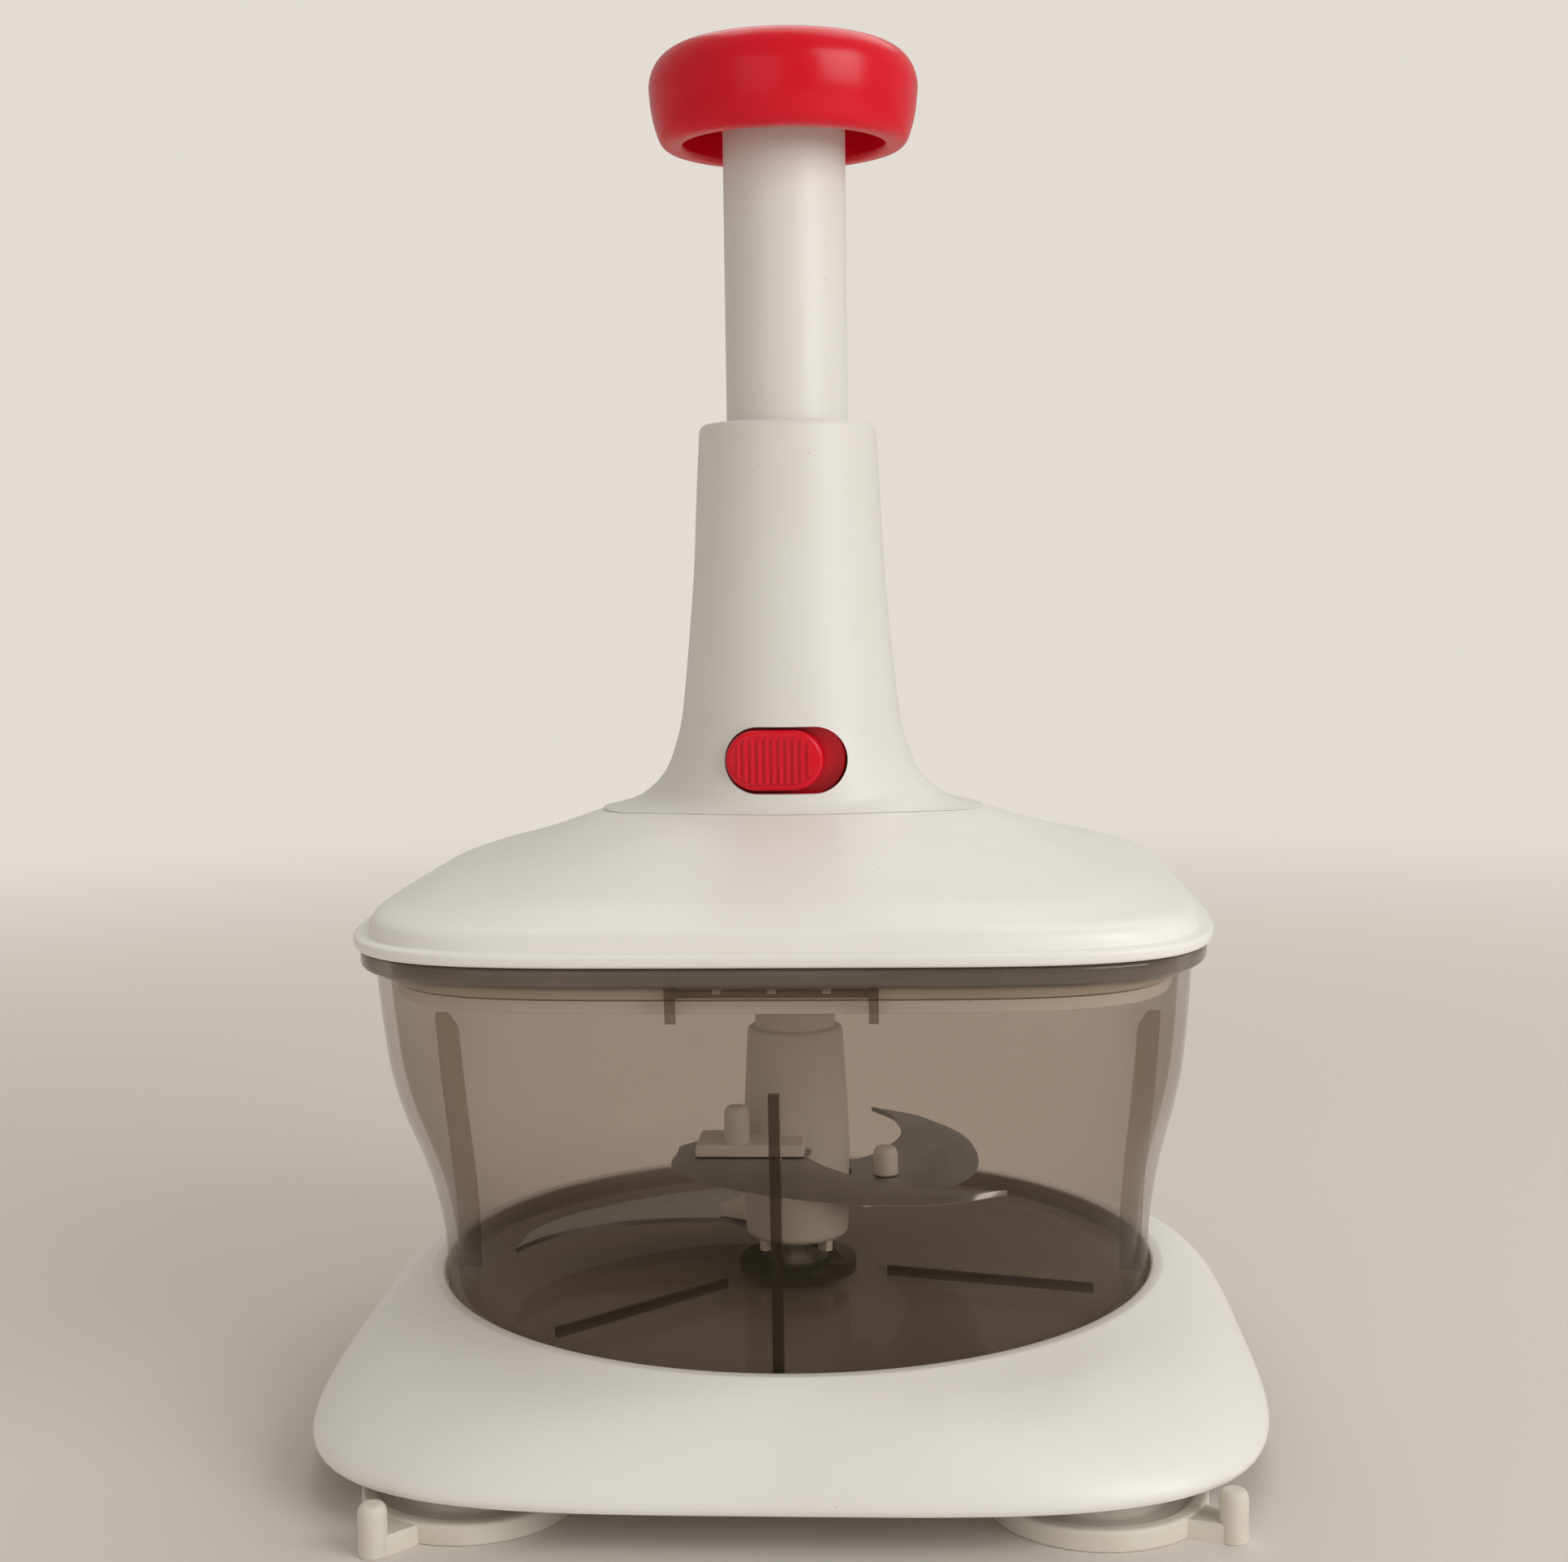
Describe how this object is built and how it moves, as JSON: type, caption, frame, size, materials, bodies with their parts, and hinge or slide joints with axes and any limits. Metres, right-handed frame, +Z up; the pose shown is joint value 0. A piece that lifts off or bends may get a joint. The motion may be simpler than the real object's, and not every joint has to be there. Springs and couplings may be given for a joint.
{
  "type": "manual food chopper",
  "caption": "Hand press food chopper: clear square-mouthed bowl on a suction base, domed lid with a guide tower, push knob, spiral drive and sickle blades.",
  "frame": {"origin": "on the table under the axis of the bowl and tower", "axes": "+Z up along the plunger, the front with the lock faces -Y, +X to the right seen from the front"},
  "size_m": [0.18, 0.1751, 0.2669],
  "materials": {
    "gloss_white": "gloss moulded",
    "shaft_white": "satin moulded",
    "gloss_red": "gloss moulded",
    "smoky_clear": "clear, tinted smoky brown",
    "cream_rubber": "soft matte",
    "blade_steel": "ground",
    "plain_steel": "plain",
    "white_nylon": "satin"
  },
  "bodies": {
    "base": {"base_shell": "gloss_white", "suction_cup_front_left": "cream_rubber", "suction_cup_front_right": "cream_rubber", "suction_cup_rear_right": "cream_rubber", "suction_cup_rear_left": "cream_rubber"},
    "bowl": {"bowl": "smoky_clear", "bowl_pin": "plain_steel"},
    "lid": {"lid_cover": "gloss_white", "lid_inner_cover": "gloss_white", "lid_seal": "cream_rubber", "inner_cover_screw_1": "plain_steel", "inner_cover_screw_2": "plain_steel", "inner_cover_screw_3": "plain_steel", "inner_cover_screw_4": "plain_steel", "tower_housing": "gloss_white", "tower_screw_1": "plain_steel", "tower_screw_2": "plain_steel", "tower_screw_3": "plain_steel"},
    "plunger": {"push_knob": "gloss_red", "plunger_tube": "gloss_white", "knob_screw": "plain_steel", "drive_nut": "white_nylon", "return_spring": "plain_steel"},
    "spindle": {"spiral_spindle": "plain_steel", "spring_seat": "white_nylon", "drive_hub": "white_nylon"},
    "blades": {"blade_shaft": "shaft_white", "blade_upper": "blade_steel", "blade_middle": "blade_steel", "blade_lower": "blade_steel"},
    "lock": {"lock_slider": "gloss_red"}
  },
  "joints": [
    {"name": "bowl_lift", "type": "slide", "parent": "base", "child": "bowl", "axis": [0, 0, 1], "range_m": [0, 0.04]},
    {"name": "lid_lift", "type": "slide", "parent": "bowl", "child": "lid", "axis": [0, 0, 1], "range_m": [0, 0.06]},
    {"name": "blade_spin", "type": "hinge", "parent": "bowl", "child": "blades", "pos_m": [0, 0, 0.056], "axis": [0, 0, -1], "range_deg": [0, 900]},
    {"name": "spindle_spin", "type": "hinge", "parent": "lid", "child": "spindle", "pos_m": [0, 0, 0.1], "axis": [0, 0, -1], "range_deg": [0, 900]},
    {"name": "plunger_press", "type": "slide", "parent": "lid", "child": "plunger", "axis": [0, 0, -1], "range_m": [0, 0.052], "stiffness_N_per_m": 150, "springref_m": -0.03, "deforming": ["return_spring"]},
    {"name": "lock_slide", "type": "slide", "parent": "lid", "child": "lock", "axis": [1, 0, 0], "range_m": [0, 0.003]}
  ],
  "couplings": [
    {"joint": "spindle_spin", "follows": "blade_spin", "ratio": 1},
    {"joint": "plunger_press", "follows": "blade_spin", "m_per_rad": 0.0033104}
  ]
}
